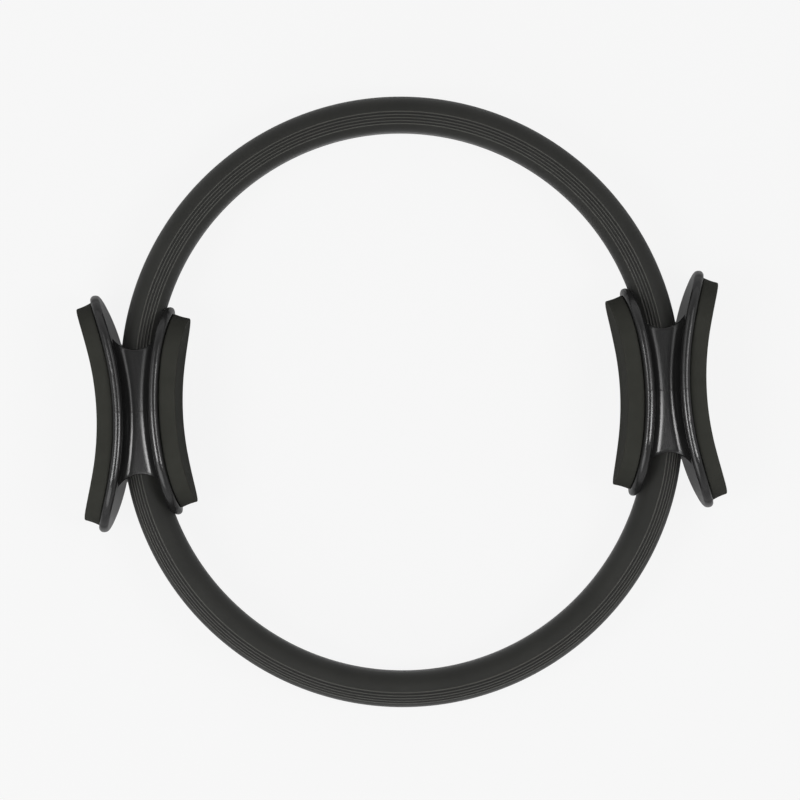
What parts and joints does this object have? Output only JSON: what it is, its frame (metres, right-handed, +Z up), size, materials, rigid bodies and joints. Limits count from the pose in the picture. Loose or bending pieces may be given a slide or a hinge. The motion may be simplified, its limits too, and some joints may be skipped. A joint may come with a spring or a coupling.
{
  "type": "pilates ring",
  "caption": "Sprung exercise hoop in a ribbed black sleeve, with a saddle-shaped hard grip and foam pads inside and outside at each side, squeezed or pushed apart.",
  "frame": {"origin": "on the floor plane under the middle of the hoop, with the ring lying flat on its grips", "axes": "+X from the left grip to the right grip, +Y across the hoop, +Z up along the hoop's axis"},
  "size_m": [0.3854, 0.3662, 0.07],
  "materials": {
    "ribbed_sleeve": "matte ribbed extrusion",
    "grip_moulding": "semi-gloss moulded",
    "foam_pad": "matte closed-cell foam",
    "spring_leaf": "pultruded glass fibre",
    "fastener": "zinc plated"
  },
  "bodies": {
    "hoop_and_left_grip": {"upper_outer_leaf": "spring_leaf", "upper_inner_leaf": "spring_leaf", "upper_sleeve": "ribbed_sleeve", "lower_outer_leaf": "spring_leaf", "lower_inner_leaf": "spring_leaf", "lower_sleeve": "ribbed_sleeve", "left_outer_half": "grip_moulding", "left_inner_half": "grip_moulding", "left_outer_pad": "foam_pad", "left_inner_pad": "foam_pad", "left_clamp_screws": "fastener", "left_clamp_washers": "fastener", "left_clamp_nuts": "fastener"},
    "right_grip": {"right_outer_half": "grip_moulding", "right_inner_half": "grip_moulding", "right_outer_pad": "foam_pad", "right_inner_pad": "foam_pad", "right_clamp_screws": "fastener", "right_clamp_washers": "fastener", "right_clamp_nuts": "fastener"}
  },
  "joints": [
    {"name": "squeeze", "type": "slide", "parent": "hoop_and_left_grip", "child": "right_grip", "axis": [1, 0, 0], "range_m": [-0.07, 0.025], "stiffness_N_per_m": 1650, "deforming": ["upper_outer_leaf", "upper_inner_leaf", "upper_sleeve", "lower_outer_leaf", "lower_inner_leaf", "lower_sleeve"]}
  ]
}
